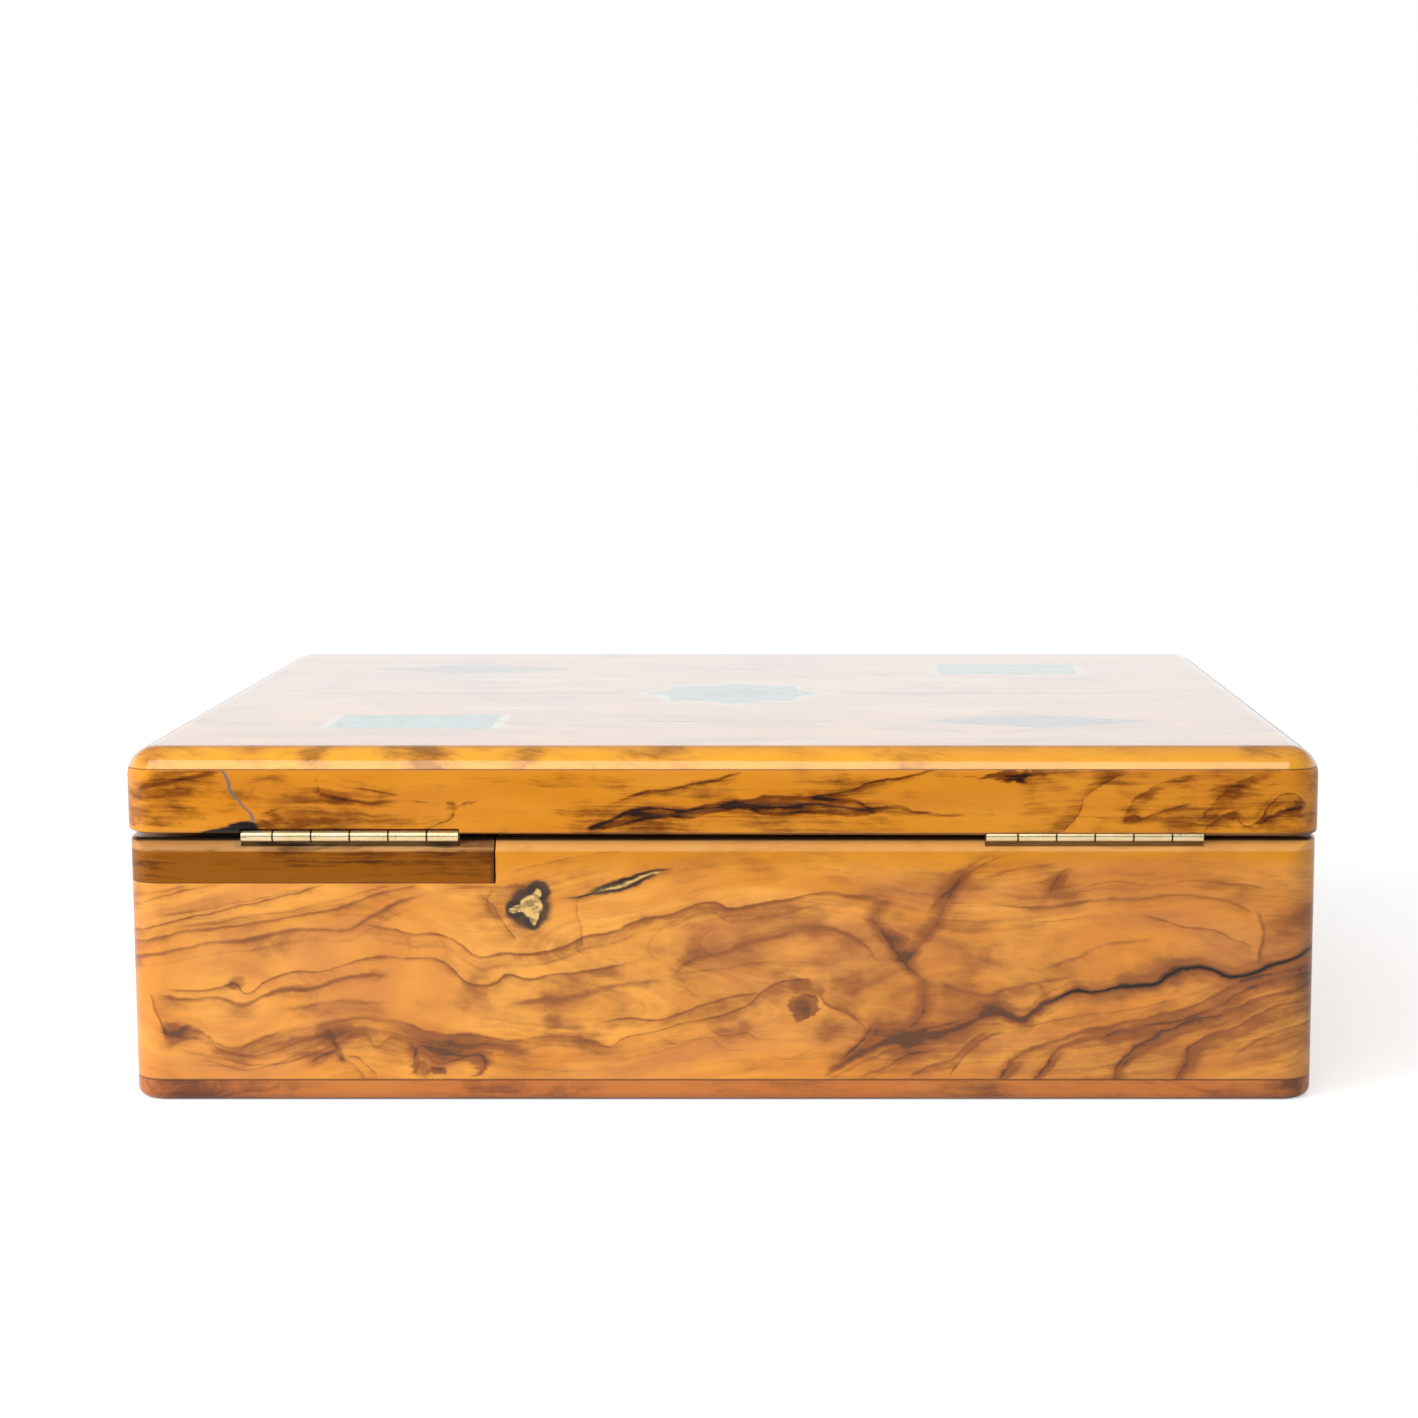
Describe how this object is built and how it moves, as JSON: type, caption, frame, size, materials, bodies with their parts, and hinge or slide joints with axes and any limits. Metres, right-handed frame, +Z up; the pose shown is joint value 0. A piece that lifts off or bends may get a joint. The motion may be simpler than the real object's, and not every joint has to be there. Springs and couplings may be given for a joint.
{
  "type": "hinged inlaid wooden box",
  "caption": "Rectangular varnished olive-wood box with rounded edges, a lid on brass butt hinges, a let-in repair strip at the back and a flush geometric inlay in the lid top.",
  "frame": {"origin": "middle of the underside", "axes": "+Z up, +X along the length to the box's right seen from its front, +Y towards the hinged back"},
  "size_m": [0.28, 0.22, 0.084],
  "materials": {
    "olive_wood": "gloss varnish over strongly figured olive wood",
    "patch_wood": "gloss varnish over darker straight-grained wood",
    "bottom_wood": "gloss varnish over reddish wood",
    "brass": "plain brass, slightly dulled",
    "turquoise": "polished flush under varnish",
    "bone": "polished flush under varnish",
    "slate": "polished flush under varnish",
    "dark_wood": "polished flush under varnish"
  },
  "bodies": {
    "base": {"base_bottom_panel": "bottom_wood", "base_back_wall": "olive_wood", "base_back_wall_patch": "patch_wood", "base_front_wall": "olive_wood", "base_left_wall": "olive_wood", "base_right_wall": "olive_wood", "right_hinge_base_leaf": "brass", "right_hinge_pin": "brass", "right_hinge_base_screws": "brass", "left_hinge_base_leaf": "brass", "left_hinge_pin": "brass", "left_hinge_base_screws": "brass"},
    "lid": {"lid_top_panel": "olive_wood", "lid_back_rail": "olive_wood", "lid_front_rail": "olive_wood", "lid_left_rail": "olive_wood", "lid_right_rail": "olive_wood", "inlay_turquoise": "turquoise", "inlay_bone": "bone", "inlay_slate": "slate", "inlay_dark_lines": "dark_wood", "right_hinge_lid_leaf": "brass", "right_hinge_lid_screws": "brass", "left_hinge_lid_leaf": "brass", "left_hinge_lid_screws": "brass"}
  },
  "joints": [
    {"name": "lid_hinge", "type": "hinge", "parent": "base", "child": "lid", "pos_m": [0, 0.1084, 0.06325], "axis": [-1, 0, 0], "range_deg": [0, 133]}
  ]
}
